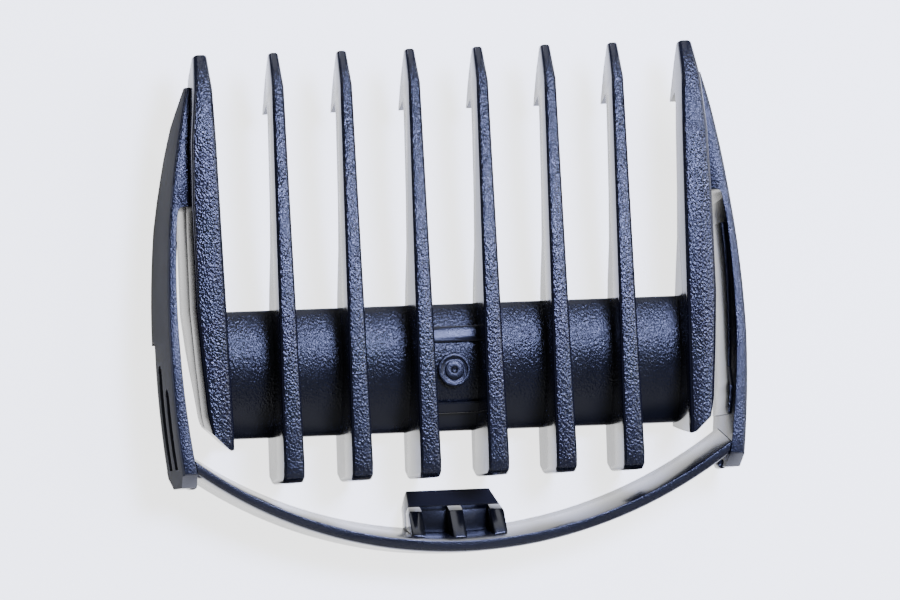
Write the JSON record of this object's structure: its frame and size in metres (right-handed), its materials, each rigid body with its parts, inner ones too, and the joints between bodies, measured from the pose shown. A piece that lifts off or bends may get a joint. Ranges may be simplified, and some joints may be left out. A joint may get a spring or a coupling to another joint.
{
  "type": "hair clipper guard comb",
  "caption": "Clip-on spacing comb for a hair clipper: parallel tines on a rolled crossbar, slotted spring arms at the sides and a sagging bow with a ridged catch.",
  "frame": {"origin": "centre of the base of the bounding box, on the surface that the arms' back edges lie on", "axes": "+X across the comb to its right side, +Y to the tine tips, +Z to the comb's front, the side that meets the hair"},
  "size_m": [0.0536, 0.0458, 0.0085],
  "materials": {
    "tine_plastic": "coarse spark-eroded grain on the fronts, smooth sides",
    "crossbar_plastic": "satin, with a fine grain",
    "smooth_plastic": "smooth semi-gloss",
    "arm_plastic": "grained front edge, smooth faces",
    "bow_plastic": "fine grain on the front edge, smooth faces",
    "catch_plastic": "glossy black"
  },
  "bodies": {
    "comb": {"tine_1": "tine_plastic", "tine_2": "tine_plastic", "tine_3": "tine_plastic", "tine_4": "tine_plastic", "tine_5": "tine_plastic", "tine_6": "tine_plastic", "tine_7": "tine_plastic", "tine_8": "tine_plastic", "web_1": "crossbar_plastic", "web_2": "crossbar_plastic", "web_3": "crossbar_plastic", "web_4": "crossbar_plastic", "web_5": "crossbar_plastic", "web_6": "crossbar_plastic", "web_7": "crossbar_plastic", "upper_rib": "crossbar_plastic", "lower_rib": "crossbar_plastic", "round_pad": "crossbar_plastic", "left_cheek": "smooth_plastic", "right_cheek": "smooth_plastic", "left_root": "arm_plastic", "right_root": "arm_plastic"},
    "left_arm_body": {"left_arm": "arm_plastic", "left_rail": "smooth_plastic", "left_foot": "smooth_plastic"},
    "right_arm_body": {"right_arm": "arm_plastic", "right_rail": "smooth_plastic", "right_foot": "smooth_plastic"},
    "bow_middle_body": {"bow_middle_piece": "bow_plastic", "catch_block": "catch_plastic", "catch_ridge_1": "catch_plastic", "catch_ridge_2": "catch_plastic", "catch_ridge_3": "catch_plastic"},
    "bow_left_body": {"bow_left": "bow_plastic"},
    "bow_right_body": {"bow_right": "bow_plastic"}
  },
  "joints": [
    {"name": "catch_pull", "type": "slide", "parent": "comb", "child": "bow_middle_body", "axis": [0, -0.9789, -0.2045], "range_m": [-0.0004, 0.0008], "stiffness_N_per_m": 400},
    {"name": "bow_flex_left", "type": "hinge", "parent": "bow_middle_body", "child": "bow_left_body", "pos_m": [-0.00704, -0.02176, 0.00364], "axis": [0, -0.2045, 0.9789], "range_deg": [-2.7, 1.4], "stiffness_Nm_per_rad": 0.02},
    {"name": "bow_flex_right", "type": "hinge", "parent": "bow_middle_body", "child": "bow_right_body", "pos_m": [0.00704, -0.02176, 0.00364], "axis": [0, -0.2045, 0.9789], "range_deg": [-1.4, 2.7], "stiffness_Nm_per_rad": 0.02},
    {"name": "arm_flex_left", "type": "hinge", "parent": "comb", "child": "left_arm_body", "pos_m": [-0.02568, 0.00837, 0.00425], "axis": [0, 0, 1], "range_deg": [-0.5, 0.9], "stiffness_Nm_per_rad": 0.06},
    {"name": "arm_flex_right", "type": "hinge", "parent": "comb", "child": "right_arm_body", "pos_m": [0.02568, 0.00837, 0.00425], "axis": [0, 0, 1], "range_deg": [-0.9, 0.5], "stiffness_Nm_per_rad": 0.06}
  ],
  "couplings": [
    {"joint": "bow_flex_right", "follows": "catch_pull", "rad_per_m": 56.398},
    {"joint": "bow_flex_left", "follows": "catch_pull", "rad_per_m": -56.398},
    {"joint": "arm_flex_right", "follows": "catch_pull", "rad_per_m": -18.743},
    {"joint": "arm_flex_left", "follows": "catch_pull", "rad_per_m": 18.743}
  ]
}
